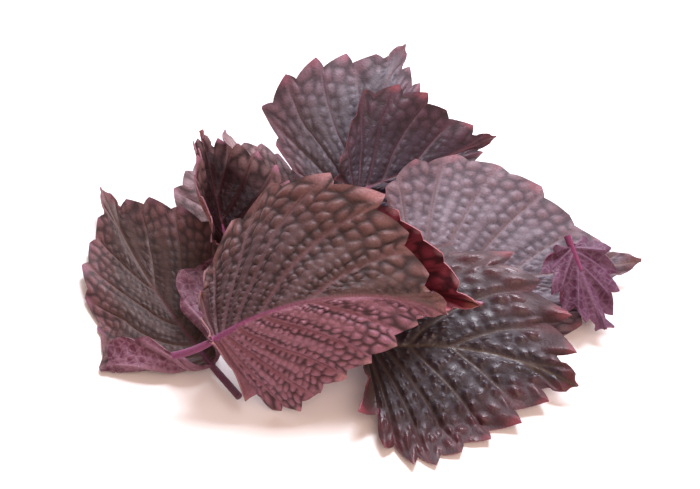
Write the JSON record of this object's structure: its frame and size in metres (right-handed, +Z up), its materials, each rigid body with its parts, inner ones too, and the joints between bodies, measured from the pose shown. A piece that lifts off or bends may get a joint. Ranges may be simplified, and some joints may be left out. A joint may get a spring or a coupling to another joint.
{
  "type": "purple shiso bunch",
  "caption": "Loose heap of picked purple shiso leaves with toothed edges, puckered blades and short pink stalks.",
  "frame": {"origin": "on the surface the heap lies on, below the middle of its bounding box", "axes": "+Z up from the surface, +X to the right of the picture along the heap's longest side, +Y away from the viewer"},
  "size_m": [0.2007, 0.18, 0.0602],
  "materials": {
    "brown_mauve": "soft leaf, puckered, faint sheen",
    "dark_brown": "soft leaf, puckered, faint sheen",
    "dark_red": "soft leaf, puckered, faint sheen",
    "pale_brown": "soft leaf, faint sheen",
    "grey_lavender": "soft leaf, puckered, waxy sheen",
    "black_purple": "soft leaf, strongly puckered, glossy",
    "crimson": "soft leaf, faint sheen",
    "magenta": "matt underside of a leaf with pale veins"
  },
  "bodies": {
    "root": {"leaf_front": "brown_mauve", "leaf_left": "dark_brown", "leaf_rolled": "dark_red", "leaf_back_left": "pale_brown", "leaf_back": "grey_lavender", "leaf_back_right": "dark_red", "leaf_right": "grey_lavender", "leaf_near": "black_purple", "leaf_red": "crimson", "leaf_small": "magenta"}
  },
  "joints": []
}
